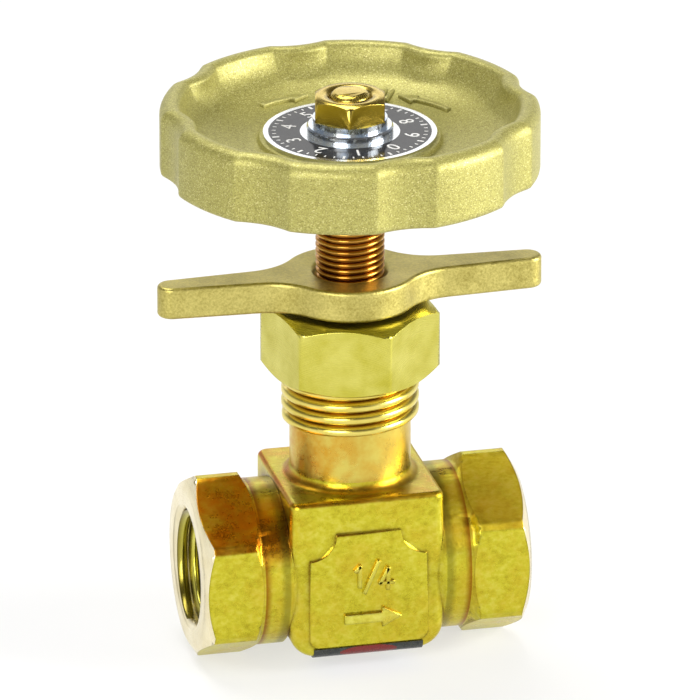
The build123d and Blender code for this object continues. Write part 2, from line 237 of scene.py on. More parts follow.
def forgedBrass(name="forgedBrass", shades=brassLook["forged"]):
    made, tree, shader, coords = newMaterial(name)
    clouds = noise(tree, coords, 520, 6, 0.7)
    grain = noise(tree, coords, 3000, 3)
    scratches = noise(tree, coords, 2100, 4, 0.65, (0.6, 1.0, 0.8))
    blend = maths(tree, "ADD", maths(tree, "MULTIPLY", clouds, 0.5),
                  maths(tree, "MULTIPLY", scratches, 0.5))
    low, middle, high = shades
    colour = ramp(tree, blend, [(0.36, low), (0.5, middle), (0.64, high)])
    warmth = span(tree, noise(tree, coords, 150, 5, 0.7), 0.46, 0.66, 0.0, 0.4)
    colour = mixColour(tree, warmth, colour, brassLook["warm"])
    across, up = splitAxes(tree, coords)[::2]
    facing = splitAxes(tree, node(tree, "ShaderNodeNewGeometry").outputs["Normal"])[2]
    patches = span(tree, noise(tree, coords, 210, 5, 0.65), 0.40, 0.58)
    ragged = maths(tree, "MULTIPLY", noise(tree, coords, 1400, 3), 0.5 * mm)
    neckFoot = bodyHigh.z - forgingBands["neckFoot"] * mm
    machined = span(tree, maths(tree, "ADD", up, ragged), neckFoot, neckFoot + 0.08 * mm)
    colour = mixColour(tree, machined, colour, brassLook["machined"])
    # Orange stain in patches on the machined neck, with painted shade making it stronger towards negative X
    # (the left side).
    stainAndLeftShade = maths(tree, "MULTIPLY", span(tree, across, 0.005, -0.006, 0.3, 1.0), patches)
    colour = mixColour(tree, maths(tree, "MULTIPLY", stainAndLeftShade, machined), colour, brassLook["neckFilmAndShade"])
    # Orange pickling film in patches, with painted shade: faces that slope upwards, more so towards
    # negative X (the left side), and flat upward faces take the film colour.
    sloping = maths(tree, "MULTIPLY", span(tree, facing, 0.25, 0.5), span(tree, facing, 0.985, 0.9))
    sides = span(tree, across, 0.010, -0.010, 0.35, 1.0)
    patchy = span(tree, patches, 0, 1, 0.6, 1.0)
    upwardFilmAndShade = maths(tree, "MULTIPLY", sloping, maths(tree, "MULTIPLY", sides, patchy))
    level = maths(tree, "MULTIPLY", span(tree, facing, 0.92, 0.99), maths(tree, "MULTIPLY", patches, 0.45))
    colour = mixColour(tree, maths(tree, "MAXIMUM", upwardFilmAndShade, level), colour, brassLook["filmAndShade"])
    # Painted reflection: the forging's edges, convex and concave, darkened towards dark olive and broken up
    # by the scratch noise.
    paintedEdgeReflection = maths(tree, "MULTIPLY", edgeShare(tree, 0.5 * mm), span(tree, scratches, 0.38, 0.6, 0.45, 1.0))
    colour = mixColour(tree, paintedEdgeReflection, colour, brassLook["edge"])
    outward = maths(tree, "ABSOLUTE", across)
    # Painted shade: a dark orange-brown line where each hexagon meets its round collar.
    grooveShade = band(tree, outward, forgingBands["grooveShade"])
    colour = mixColour(tree, maths(tree, "MULTIPLY", grooveShade, 0.85), colour, brassLook["grooveShade"])
    # Painted shade: a darker band where each collar meets the block.
    valleyShade = band(tree, outward, forgingBands["valleyShade"])
    colour = mixColour(tree, maths(tree, "MULTIPLY", valleyShade, 0.6), colour, brassLook["edge"])
    # Painted shade: crevices and the ground round raised marks darkened by ambient occlusion, in patches.
    shadeInCrevices = maths(tree, "MULTIPLY", creviceShare(tree, 2.2 * mm), patchy)
    colour = mixColour(tree, shadeInCrevices, colour, brassLook["creviceShade"])
    link(tree, colour, shader.inputs["Base Color"])
    rough = maths(tree, "ADD", span(tree, clouds, 0.3, 0.7, 0.20, 0.34),
                  span(tree, grain, 0.3, 0.7, 0.0, 0.08))
    dull = maths(tree, "MULTIPLY", sloping, span(tree, across, 0.0, 0.01, 0.0, 0.2))
    link(tree, maths(tree, "ADD", rough, dull), shader.inputs["Roughness"])
    first = bump(tree, noise(tree, coords, 620, 4), shader, 0.45, 0.08 * mm, softNormal(tree, 0.26 * mm))
    height = maths(tree, "ADD", maths(tree, "MULTIPLY", grain, 0.5), scratches)
    bump(tree, height, shader, 0.4, 0.03 * mm, first)
    return made


# Lathe-turned finish: fine rings about the stem's axis or the flow. For a thread, grooveShade holds the
# radii of its valley and its crest in mm, and the colour of the painted shade that darkens the valley.
def turnedBrass(name="turnedBrass", colours=None, rough=0.24, axis="z", pitch=0.10, grooveShade=None):
    made, tree, shader, coords = newMaterial(name)
    low, high = colours or brassLook["turned"]
    clouds = noise(tree, coords, 300, 3)
    colour = ramp(tree, clouds, [(0.3, low), (0.7, high)])
    x, y, z = splitAxes(tree, coords)
    if axis == "z":
        radius, up = axisRadius(tree, x, y), z
    else:
        radius, up = axisRadius(tree, y, maths(tree, "SUBTRACT", z, flowHeight)), x
    if grooveShade:
        valleyRadius, crestRadius, dark = grooveShade
        # Painted shade: the colour darkens from the crest's radius towards the valley's radius.
        valleyShade = span(tree, radius, crestRadius * mm, valleyRadius * mm)
        colour = mixColour(tree, maths(tree, "MULTIPLY", valleyShade, 0.85), colour, dark)
    link(tree, colour, shader.inputs["Base Color"])
    rings = joinAxes(tree, maths(tree, "ADD", radius, up))
    lines = noise(tree, rings, 1 / (pitch * mm), 2)
    link(tree, span(tree, lines, 0.25, 0.75, rough - 0.06, rough + 0.1), shader.inputs["Roughness"])
    bump(tree, lines, shader, 0.25, 0.02 * mm, softNormal(tree, 0.12 * mm))
    return made


# Tumbled casting with a fine sandy grain.
def castBrass():
    made, tree, shader, coords = newMaterial("castBrass")
    grain = noise(tree, coords, 3600, 4, 0.65)
    clouds = noise(tree, coords, 240, 3)
    low, high = brassLook["cast"]
    colour = ramp(tree, maths(tree, "ADD", maths(tree, "MULTIPLY", clouds, 0.4),
                              maths(tree, "MULTIPLY", grain, 0.6)), [(0.36, low), (0.62, high)])
    # Painted highlight: the casting's edges, convex and concave, lightened towards pale brass.
    paintedEdgeReflection = maths(tree, "MULTIPLY", edgeShare(tree, 0.3 * mm), 0.5)
    colour = mixColour(tree, paintedEdgeReflection, colour, brassLook["castEdgeHighlight"])
    link(tree, colour, shader.inputs["Base Color"])
    link(tree, span(tree, grain, 0.3, 0.7, 0.32, 0.5), shader.inputs["Roughness"])
    bump(tree, grain, shader, 0.6, 0.06 * mm, softNormal(tree, 0.2 * mm))
    return made


paintLook = {"dark": (0.24, 0.215, 0.05), "middle": (0.40, 0.37, 0.10), "flake": (0.62, 0.58, 0.24),
             "edge": (0.66, 0.62, 0.30), "flakeScale": 9500}


# Gold paint with fine metal flakes.
def wheelPaint():
    made, tree, shader, coords = newMaterial("wheelPaint", 0.6)
    flakes = node(tree, "ShaderNodeTexVoronoi")
    flakes.inputs["Scale"].default_value = paintLook["flakeScale"]
    link(tree, coords, flakes.inputs["Vector"])
    tone = node(tree, "ShaderNodeSeparateColor")
    link(tree, flakes.outputs["Color"], tone.inputs[0])
    colour = ramp(tree, tone.outputs[0], [(0.0, paintLook["dark"]), (0.5, paintLook["middle"]),
                                          (0.85, paintLook["middle"]), (1.0, paintLook["flake"])])
    # Painted highlight: the wheel's edges, convex and concave, lightened towards pale gold.
    paintedEdgeReflection = maths(tree, "MULTIPLY", edgeShare(tree, 0.8 * mm, 0.12), 0.3)
    colour = mixColour(tree, paintedEdgeReflection, colour, paintLook["edge"])
    link(tree, colour, shader.inputs["Base Color"])
    link(tree, span(tree, tone.outputs[1], 0, 1, 0.42, 0.58), shader.inputs["Roughness"])
    shader.inputs["Coat Weight"].default_value = 0.15
    shader.inputs["Coat Roughness"].default_value = 0.35
    first = bump(tree, noise(tree, coords, 600, 2), shader, 0.2, 0.06 * mm)
    bump(tree, tone.outputs[2], shader, 0.15, 0.02 * mm, first)
    return made


def brightZinc():
    made, tree, shader, coords = newMaterial("brightZinc")
    clouds = noise(tree, coords, 500, 3)
    link(tree, ramp(tree, clouds, [(0.35, (0.50, 0.60, 0.74)), (0.55, (0.66, 0.70, 0.74)),
                                   (0.75, (0.74, 0.72, 0.64))]), shader.inputs["Base Color"])
    link(tree, span(tree, noise(tree, coords, 2200), 0.3, 0.7, 0.14, 0.3), shader.inputs["Roughness"])
    return made


def groundSteel():
    made, tree, shader, coords = newMaterial("groundSteel")
    lines = noise(tree, coords, 1500, 2, 0.5, (1, 1, 6))
    link(tree, ramp(tree, lines, [(0.3, (0.50, 0.50, 0.50)), (0.7, (0.66, 0.66, 0.64))]),
         shader.inputs["Base Color"])
    link(tree, span(tree, lines, 0.3, 0.7, 0.18, 0.32), shader.inputs["Roughness"])
    return made


def mouldedPlastic(name, low, high, rough):
    made, tree, shader, coords = newMaterial(name, 0.0)
    clouds = noise(tree, coords, 900, 3)
    link(tree, ramp(tree, clouds, [(0.3, low), (0.7, high)]), shader.inputs["Base Color"])
    link(tree, span(tree, noise(tree, coords, 2500), 0.3, 0.7, rough - 0.05, rough + 0.1),
         shader.inputs["Roughness"])
    return made


plateRings = {"rim": 9.4, "innerRing": 5.75}      # black print between these radii, in mm


# Aluminium disc with a black printed band between two bare rings.
def printedPlate():
    made, tree, shader, coords = newMaterial("printedPlate")
    radius = axisRadius(tree, *splitAxes(tree, coords)[:2])
    inside = maths(tree, "LESS_THAN", radius, plateRings["rim"] * mm)
    outside = maths(tree, "GREATER_THAN", radius, plateRings["innerRing"] * mm)
    ink = maths(tree, "MULTIPLY", inside, outside)
    metal = ramp(tree, noise(tree, coords, 700), [(0.3, (0.66, 0.68, 0.70)), (0.7, (0.80, 0.81, 0.82))])
    black = ramp(tree, noise(tree, coords, 1500),
                 [(0.3, (0.012, 0.012, 0.013)), (0.7, (0.03, 0.03, 0.03))])
    link(tree, mixColour(tree, ink, metal, black), shader.inputs["Base Color"])
    link(tree, span(tree, ink, 0, 1, 1.0, 0.0), shader.inputs["Metallic"])
    link(tree, span(tree, ink, 0, 1, 0.22, 0.12), shader.inputs["Roughness"])
    link(tree, span(tree, ink, 0, 1, 0.5, 0.14), shader.inputs["Specular IOR Level"])
    return made


labelLook = {"ovalHalf": (3.4, 0.75), "oval": (0.13, 0.008, 0.006)}


# Black film with a plain red oval.
def labelFilm():
    made, tree, shader, coords = newMaterial("labelFilm", 0.0)
    labelLow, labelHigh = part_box("base_label")
    x, z = splitAxes(tree, coords)[::2]
    across = maths(tree, "DIVIDE", x, labelLook["ovalHalf"][0] * mm)
    middle = (labelHigh.z + labelLow.z) / 2
    upward = maths(tree, "DIVIDE", maths(tree, "SUBTRACT", z, middle), labelLook["ovalHalf"][1] * mm)
    distance = maths(tree, "ADD", maths(tree, "MULTIPLY", across, across),
                     maths(tree, "MULTIPLY", upward, upward))
    red = maths(tree, "LESS_THAN", distance, 1.0)
    black = ramp(tree, noise(tree, coords, 1800),
                 [(0.3, (0.008, 0.010, 0.010)), (0.7, (0.03, 0.035, 0.03))])
    link(tree, mixColour(tree, red, black, labelLook["oval"]), shader.inputs["Base Color"])
    link(tree, span(tree, noise(tree, coords, 900), 0.3, 0.7, 0.2, 0.35), shader.inputs["Roughness"])
    return made


paints = {
    "mark": forgedBrass("forgedMark", brassLook["mark"]),
    "forged": forgedBrass(),
    "turned": turnedBrass(),
    "port": turnedBrass("portBrass", brassLook["portTurned"], 0.26, "x"),
    "portThread": turnedBrass("portThreadBrass", brassLook["turned"], 0.24, "x", 0.1,
                              (6.5, 5.9, (0.16, 0.12, 0.02))),
    "wheelNut": turnedBrass("wheelNutBrass", ((0.44, 0.31, 0.035), (0.60, 0.46, 0.10)), 0.2),
    "neckThread": turnedBrass("neckThreadBrass", ((0.72, 0.58, 0.10), (0.84, 0.72, 0.20)), 0.22, "z", 0.1,
                              (7.15, 7.8, (0.34, 0.17, 0.02))),
    "thread": turnedBrass("stemBrass", brassLook["thread"], 0.18, "z", 0.1,
                          (3.6, 3.92, (0.16, 0.05, 0.005))),
    "cast": castBrass(),
    "wheel": wheelPaint(),
    "zinc": brightZinc(),
    "steel": groundSteel(),
    "packing": mouldedPlastic("packingPlastic", (0.80, 0.80, 0.78), (0.88, 0.88, 0.86), 0.45),
    "gasket": mouldedPlastic("gasketFibre", (0.22, 0.09, 0.05), (0.32, 0.14, 0.08), 0.7),
    "plate": printedPlate(),
    "ink": mouldedPlastic("whiteInk", (0.72, 0.72, 0.70), (0.82, 0.82, 0.80), 0.4),
    "label": labelFilm(),
}
print("materials made:", len(paints))


def newPiece(name, mesh):
    piece = bpy.data.objects.new(name, mesh)
    bpy.context.scene.collection.objects.link(piece)
    return piece


# The piece's mesh with its modifiers in it.
def evaluatedMesh(piece):
    bpy.context.view_layer.update()
    graph = bpy.context.evaluated_depsgraph_get()
    return bpy.data.meshes.new_from_object(piece.evaluated_get(graph), depsgraph=graph)


def bakeModifiers(piece):
    mesh = evaluatedMesh(piece)
    piece.modifiers.clear()
    piece.data = mesh
    return piece


def smoothByAngle(mesh, angle):
    for face in mesh.polygons:
        face.use_smooth = True
    mesh.set_sharp_from_angle(angle=radians(angle))


# A CAD node's mesh with its loose triangles joined and its normals weighted.
def joinedCopy(nodeName, pieceName, paint, sharp=28):
    mesh = frame["nodes"][nodeName].data.copy()
    mesh.materials.clear()
    mesh.materials.append(paint)
    shape = bmesh.new()
    shape.from_mesh(mesh)
    bmesh.ops.remove_doubles(shape, verts=shape.verts, dist=1e-6)
    bmesh.ops.dissolve_degenerate(shape, edges=shape.edges, dist=1e-7)
    for face in shape.faces:
        face.material_index = 0
    shape.to_mesh(mesh)
    shape.free()
    for layer in list(mesh.color_attributes):
        mesh.color_attributes.remove(layer)
    smoothByAngle(mesh, sharp)
    piece = newPiece(pieceName, mesh)
    weigh = piece.modifiers.new("weighted", "WEIGHTED_NORMAL")
    weigh.keep_sharp = True
    return bakeModifiers(piece)


def mount(piece, body, slotName, *nodes):
    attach(piece, body)
    if nodes:
        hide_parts(*nodes)
    return piece


# A Geometry Nodes tree with named float, integer and material inputs.
def newTree(name, sockets):
    tree = bpy.data.node_groups.new(name, "GeometryNodeTree")
    tree.interface.new_socket("Geometry", in_out="INPUT", socket_type="NodeSocketGeometry")
    for label, kind, value in sockets:
        socket = tree.interface.new_socket(label, in_out="INPUT", socket_type="NodeSocket" + kind)
        if kind != "Material":
            socket.default_value = value
    tree.interface.new_socket("Geometry", in_out="OUTPUT", socket_type="NodeSocketGeometry")
    return tree, tree.nodes.new("NodeGroupInput"), tree.nodes.new("NodeGroupOutput")


# Ends a tree in Realize Instances and Set Material.
def closeTree(tree, geometry, inputs, outputs):
    real = node(tree, "GeometryNodeRealizeInstances")
    paint = node(tree, "GeometryNodeSetMaterial")
    link(tree, geometry, real.inputs["Geometry"])
    link(tree, real.outputs["Geometry"], paint.inputs["Geometry"])
    link(tree, inputs.outputs["Paint"], paint.inputs["Material"])
    link(tree, paint.outputs["Geometry"], outputs.inputs["Geometry"])


# Runs a tree on a base mesh and returns the result as a plain piece.
def grow(name, tree, values, base=None):
    piece = newPiece(name, base or bpy.data.meshes.new(name))
    modifier = piece.modifiers.new("build", "NODES")
    modifier.node_group = tree
    ids = {s.name: s.identifier for s in tree.interface.items_tree if s.in_out == "INPUT"}
    for label, value in values.items():
        modifier[ids[label]] = value
    bakeModifiers(piece)
    piece.data.materials.clear()
    piece.data.materials.append(values["Paint"])
    return piece


sectionPoints = 6                    # points across a thread ridge, from root to root over the crest


# A helical ridge with a rounded crest, wound up the Z axis round a root cylinder.
def threadTree():
    tree, inputs, outputs = newTree("threadRidge", [
        ("Root Radius", "Float", 0.004), ("Crest Radius", "Float", 0.0045), ("Pitch", "Float", 0.001),
        ("Turns", "Float", 5.0), ("Root Width", "Float", 0.8), ("Shoulder Width", "Float", 0.4),
        ("Crest Width", "Float", 0.15), ("Shoulder", "Float", 0.8), ("Taper", "Float", 0.0),
        ("Start", "Float", 0.0), ("Steps", "Int", 64), ("Paint", "Material", None)])
    take = inputs.outputs
    index = node(tree, "GeometryNodeInputIndex").outputs[0]
    grid = node(tree, "GeometryNodeMeshGrid")
    link(tree, maths(tree, "MULTIPLY", take["Turns"], take["Steps"]), grid.inputs["Vertices X"])
    grid.inputs["Vertices Y"].default_value = sectionPoints
    along = maths(tree, "FLOOR", maths(tree, "DIVIDE", maths(tree, "ADD", index, 0.5), sectionPoints))
    corner = maths(tree, "MODULO", index, float(sectionPoints))
    side = maths(tree, "SUBTRACT", corner, (sectionPoints - 1) / 2)
    away = maths(tree, "ABSOLUTE", side)
    onCrest = maths(tree, "LESS_THAN", away, 1.0)
    onShoulder = maths(tree, "SUBTRACT", maths(tree, "LESS_THAN", away, 2.0), onCrest)
    onRoot = maths(tree, "GREATER_THAN", away, 2.0)
    turn = maths(tree, "DIVIDE", along, take["Steps"])
    angle = maths(tree, "MULTIPLY", turn, 2 * pi)
    total = maths(tree, "SUBTRACT", take["Turns"], maths(tree, "DIVIDE", 1.0, take["Steps"]))
    fromStart = maths(tree, "MULTIPLY", turn, 2.0)
    fromEnd = maths(tree, "MULTIPLY", maths(tree, "SUBTRACT", total, turn), 2.0)
    fade = maths(tree, "MINIMUM", 1.0, maths(tree, "MINIMUM", fromStart, fromEnd))
    fade = maths(tree, "MAXIMUM", fade, 0.02)
    depth = maths(tree, "SUBTRACT", take["Crest Radius"], take["Root Radius"])
    level = maths(tree, "ADD", onCrest, maths(tree, "MULTIPLY", onShoulder, take["Shoulder"]))
    raised = maths(tree, "MULTIPLY", maths(tree, "MULTIPLY", level, depth), fade)
    rise = maths(tree, "MULTIPLY", turn, take["Pitch"])
    radius = maths(tree, "ADD", maths(tree, "ADD", take["Root Radius"], raised),
                    maths(tree, "MULTIPLY", rise, take["Taper"]))
    width = maths(tree, "MULTIPLY", onCrest, take["Crest Width"])
    width = maths(tree, "ADD", width, maths(tree, "MULTIPLY", onShoulder, take["Shoulder Width"]))
    width = maths(tree, "ADD", width, maths(tree, "MULTIPLY", onRoot, take["Root Width"]))
    half = maths(tree, "MULTIPLY", maths(tree, "SIGN", side), 0.5)
    offset = maths(tree, "MULTIPLY", maths(tree, "MULTIPLY", half, width), take["Pitch"])
    height = maths(tree, "ADD", maths(tree, "ADD", rise, offset), take["Start"])
    place = joinAxes(tree, maths(tree, "MULTIPLY", radius, maths(tree, "COSINE", angle)),
                     maths(tree, "MULTIPLY", radius, maths(tree, "SINE", angle)), height)
    move = node(tree, "GeometryNodeSetPosition")
    link(tree, grid.outputs["Mesh"], move.inputs["Geometry"])
    link(tree, place, move.inputs["Position"])
    closeTree(tree, move.outputs["Geometry"], inputs, outputs)
    return tree


helix = threadTree()


# Joins the ridge's two root edges into a closed bar and turns its faces outwards.
def closeRidge(piece, sharp=50):
    shape = bmesh.new()
    shape.from_mesh(piece.data)
    shape.verts.ensure_lookup_table()
    last = sectionPoints - 1
    rows = len(shape.verts) // sectionPoints
    for row in range(rows - 1):
        a, b = row * sectionPoints, (row + 1) * sectionPoints
        shape.faces.new([shape.verts[i] for i in (a + last, a, b, b + last)])
    for end in (0, (rows - 1) * sectionPoints):
        shape.faces.new([shape.verts[end + i] for i in range(sectionPoints)])
    bmesh.ops.recalc_face_normals(shape, faces=shape.faces)
    shape.to_mesh(piece.data)
    shape.free()
    smoothByAngle(piece.data, sharp)
    return piece


# Gives the faces that a test picks their own material.
def paintFaces(piece, paint, chosen):
    piece.data.materials.append(paint)
    place = len(piece.data.materials) - 1
    for face in piece.data.polygons:
        if chosen(face):
            face.material_index = place


turnedPort = {"boreFrom": 5.5, "boreRadius": 7.6, "faceDepth": 2.0}      # mm


# The ports' end faces, their chamfers and the tapped holes.
def isTurned(face):
    outward = abs(face.center.x)
    across = sqrt(face.center.y ** 2 + (face.center.z - flowHeight) ** 2)
    inBore = outward > turnedPort["boreFrom"] * mm and across < turnedPort["boreRadius"] * mm
    nearEnd = outward > portFace - turnedPort["faceDepth"] * mm
    return inBore or nearEnd and abs(face.normal.x) > 0.5


forging = joinedCopy("body", "forging", paints["forged"])
paintFaces(forging, paints["port"], isTurned)
mount(forging, "valve", "forged_brass", "body")

unionNut = joinedCopy("union_nut", "unionNut", paints["turned"])
mount(unionNut, "valve", "turned_brass", "union_nut")
wheelNut = joinedCopy("wheel_nut", "wheelNut", paints["wheelNut"])
mount(wheelNut, "spindle", "turned_brass", "wheel_nut")
wing = joinedCopy("lock_wing", "lockWing", paints["cast"], 40)
mount(wing, "wing", "cast_brass", "lock_wing")
for nodeName, pieceName in (("flat_washer", "flatWasher"), ("spring_washer", "springWasher")):
    mount(joinedCopy(nodeName, pieceName, paints["zinc"]), "spindle", "zinc", nodeName)
plate = joinedCopy("dial_plate", "dialPlate", paints["plate"])
mount(plate, "spindle", "plate", "dial_plate")
label = joinedCopy("base_label", "baseLabel", paints["label"])
mount(label, "valve", "label_black", "base_label")
shaft = joinedCopy("stem", "stemShaft", paints["thread"])
paintFaces(shaft, paints["wheelNut"], lambda face: face.center.z > wheelLow.z)
mount(shaft, "spindle", "stem_brass", "stem")
print("forging and nuts made")

# Sizes in mm. widths are shares of the pitch at root, shoulder and crest, and shoulder is a share of the
# depth. start and end are measured from the heights that thread() is given.
threads = {
    "stem": {"root": 3.53, "crest": 4.0, "pitch": 0.75, "widths": (0.92, 0.5, 0.24), "shoulder": 0.8,
             "start": -6.5, "end": 0.9},
    "neck": {"root": 7.03, "crest": 8.0, "pitch": 1.5, "widths": (0.96, 0.62, 0.3), "shoulder": 0.78,
             "start": -5.8, "end": 1.5},
    "port": {"root": 6.6, "crest": 5.75, "pitch": 1.3368, "widths": (0.94, 0.4, 0.18), "shoulder": 0.8,
             "start": 0.6, "end": 9.6},
}
turnSteps = 72                             # cross sections in one turn of a ridge
portTaper = -1 / 32                        # a 1 in 16 cone on diameter


def thread(name, sizes, foot, head, paint, taper=0.0):
    low, high = foot + sizes["start"] * mm, head + sizes["end"] * mm
    turns = (high - low) / (sizes["pitch"] * mm)
    piece = grow(name, helix, {
        "Root Radius": sizes["root"] * mm, "Crest Radius": sizes["crest"] * mm,
        "Pitch": sizes["pitch"] * mm, "Turns": turns, "Root Width": sizes["widths"][0],
        "Shoulder Width": sizes["widths"][1], "Crest Width": sizes["widths"][2],
        "Shoulder": sizes["shoulder"], "Taper": taper, "Start": low, "Steps": turnSteps, "Paint": paint})
    return closeRidge(piece)


stemThread = thread("stemThread", threads["stem"], unionHigh.z, wheelLow.z, paints["thread"])
mount(stemThread, "spindle", "stem_brass")
neckThread = thread("neckThread", threads["neck"], unionLow.z, unionLow.z, paints["neckThread"])
mount(neckThread, "valve", "turned_brass")


# Female thread inside a port, built upright and laid along the flow.
def portThread(name, side):
    piece = thread(name, threads["port"], 0.0, 0.0, paints["portThread"], portTaper)
    lay = Matrix.Rotation(-side * pi / 2, 4, "Y")
    piece.data.transform(Matrix.Translation((side * portFace, 0, flowHeight)) @ lay)
    return mount(piece, "valve", "forged_brass")


portThread("inletThread", -1)
portThread("outletThread", 1)
print("threads made")


wheelSizes = {"radius": 21.88, "flutes": 8, "fluteAngle": 18.5, "fluteDepth": 0.9, "start": 3.8,
              "softness": 0.05, "steps": 512}


def arcPoints(centre, radius, fromAngle, toAngle, count):
    angles = [radians(fromAngle + (toAngle - fromAngle) * i / count) for i in range(count + 1)]
    return [(centre[0] + radius * cos(a), centre[1] + radius * sin(a)) for a in angles]


# Half section of the wheel as (radius, height, share of the flute's depth), in mm.
def wheelProfile():
    rim = wheelSizes["radius"]
    outer = arcPoints((rim - 0.6, 0.6), 0.6, -90, 0, 4)
    outer += [(rim, 0.8 + 0.95 * i) for i in range(6)]
    crown = arcPoints((rim - 1.5, 6.7), 1.5, 0, 90, 10)
    inner = arcPoints((20.3, 7.3), 0.9, 90, 160, 6)
    wall = [(19.35, 7.25), (19.15, 6.75), (18.85, 6.2), (18.4, 5.6), (17.85, 5.05), (17.2, 4.6),
            (16.4, 4.25)]
    floor = [(15.2, 3.9), (14.0, 3.65), (12.8, 3.5), (11.4, 3.42), (10.8, 3.45), (10.56, 3.6),
             (10.5, 4.0)]
    floor += [(10.38, 4.1), (7.0, 4.1), (3.6, 4.1)]
    under = [(3.6, 0.9), (5.8, 0.9), (6.0, 1.1), (6.1, 1.4), (9.0, 1.4), (14.0, 1.4)]
    under += arcPoints((17.3, 0.5), 0.9, 90, 20, 4) + [(18.4, 0.15), (18.6, 0.0), (19.5, 0.0)]
    shares = [(outer, 1.0), (crown, 1.0), (inner, 0.95), (wall[:2], 0.75), (wall[2:4], 0.45),
              (wall[4:], 0.15), (floor, 0.0), (under, 0.0)]
    return [(r, h, share) for points, share in shares for r, h in points]


# A closed ring of profile points about the stem's axis, with each point's share as an attribute.
def latheMesh(name, profile, base, steps):
    mesh = bpy.data.meshes.new(name)
    spots, shares, faces = [], [], []
    for step in range(steps):
        turn = 2 * pi * step / steps
        for radius, height, share in profile:
            spots.append((radius * mm * cos(turn), radius * mm * sin(turn), base + height * mm))
            shares.append(share)
    count = len(profile)
    for step in range(steps):
        here, there = step * count, (step + 1) % steps * count
        for place in range(count):
            after = (place + 1) % count
            faces.append((here + place, there + place, there + after, here + after))
    mesh.from_pydata(spots, [], faces)
    attribute = mesh.attributes.new("fluteShare", "FLOAT", "POINT")
    attribute.data.foreach_set("value", shares)
    return mesh


# Presses evenly spaced scallops into a turned wheel, each vertex by its own share.
def fluteTree():
    tree, inputs, outputs = newTree("fluteWheel", [
        ("Flutes", "Int", 8), ("Flute Angle", "Float", 18.5), ("Depth", "Float", 0.001),
        ("Start", "Float", 0.0), ("Softness", "Float", 0.12), ("Paint", "Material", None)])
    take = inputs.outputs
    position = node(tree, "GeometryNodeInputPosition").outputs[0]
    x, y = splitAxes(tree, position)[:2]
    angle = maths(tree, "ARCTAN2", y, x)
    fromFlute = maths(tree, "SUBTRACT", angle, maths(tree, "RADIANS", take["Start"]))
    gap = maths(tree, "DIVIDE", 2 * pi, take["Flutes"])
    half = maths(tree, "DIVIDE", gap, 2.0)
    wrapped = maths(tree, "WRAP", fromFlute, half, maths(tree, "MULTIPLY", half, -1.0))
    reach = maths(tree, "DIVIDE", maths(tree, "RADIANS", take["Flute Angle"]), 2.0)
    away = maths(tree, "DIVIDE", wrapped, reach)
    scoop = maths(tree, "SUBTRACT", 1.0, maths(tree, "MULTIPLY", away, away))
    soft = maths(tree, "SMOOTH_MAX", scoop, 0.0, take["Softness"])
    attribute = node(tree, "GeometryNodeInputNamedAttribute")
    attribute.data_type = "FLOAT"
    attribute.inputs["Name"].default_value = "fluteShare"
    shift = maths(tree, "MULTIPLY", maths(tree, "MULTIPLY", soft, take["Depth"]),
                   attribute.outputs["Attribute"])
    inward = maths(tree, "MULTIPLY", shift, -1.0)
    push = joinAxes(tree, *[maths(tree, "MULTIPLY", maths(tree, operation, angle), inward)
                            for operation in ("COSINE", "SINE")])
    move = node(tree, "GeometryNodeSetPosition")
    link(tree, inputs.outputs["Geometry"], move.inputs["Geometry"])
    link(tree, push, move.inputs["Offset"])
    closeTree(tree, move.outputs["Geometry"], inputs, outputs)
    return tree


wheel = grow("handwheelRim", fluteTree(), {
    "Flutes": wheelSizes["flutes"], "Flute Angle": wheelSizes["fluteAngle"],
    "Depth": wheelSizes["fluteDepth"] * mm, "Start": wheelSizes["start"],
    "Softness": wheelSizes["softness"], "Paint": paints["wheel"]},
    latheMesh("handwheelRim", wheelProfile(), wheelLow.z, wheelSizes["steps"]))
wheel.data.attributes.remove(wheel.data.attributes["fluteShare"])
smoothByAngle(wheel.data, 50)
mount(wheel, "spindle", "wheel_paint", "handwheel")
print("handwheel made")


# A flat outline in mm raised from a surface, with softened edges. plane places it from its own XY.
def raisedShape(name, outline, thickness, plane, paint, bevelWidth):
    shape = bmesh.new()
    bottom = shape.faces.new([shape.verts.new((x * mm, y * mm, 0)) for x, y in outline])
    for vert in bmesh.ops.extrude_face_region(shape, geom=[bottom])["geom"]:
        if isinstance(vert, bmesh.types.BMVert):
            vert.co.z += thickness * mm
    bmesh.ops.recalc_face_normals(shape, faces=shape.faces)
    mesh = bpy.data.meshes.new(name)
    shape.to_mesh(mesh)
    shape.free()
    mesh.materials.append(paint)
    mesh.transform(plane)
    piece = newPiece(name, mesh)
    soft = piece.modifiers.new("bevel", "BEVEL")
    soft.width = bevelWidth * mm
    soft.segments = 3
    soft.limit_method = "ANGLE"
    bakeModifiers(piece)
    smoothByAngle(piece.data, 35)
    return piece


panelFace = -9.55 * mm
marksSunk = 0.1 * mm                       # how far the raised marks start inside the panel
frontPlane = Matrix.Translation((0, panelFace + marksSunk, flowHeight)) @ Matrix.Rotation(pi / 2, 4, "X")
flowArrow = {"tail": -3.0, "neck": 1.5, "tip": 3.9, "shaft": 0.62, "head": 1.3, "height": -4.3,
             "thickness": 0.55, "bevel": 0.12}


def arrowOutline(a):
    top = [(a["tail"], a["shaft"]), (a["neck"], a["shaft"]), (a["neck"], a["head"]), (a["tip"], 0)]
    return [(x, a["height"] - y) for x, y in top] + [(x, a["height"] + y) for x, y in top[-2::-1]]


# A straight bar of a numeral or a rib, as a rectangle's corners.
def stroke(start, end, width):
    along = (Vector(end) - Vector(start)).normalized() * width / 2
    across = Vector((-along.y, along.x))
    a, b = Vector(start) - along, Vector(end) + along
    return [tuple(p) for p in (a - across, b - across, b + across, a + across)]


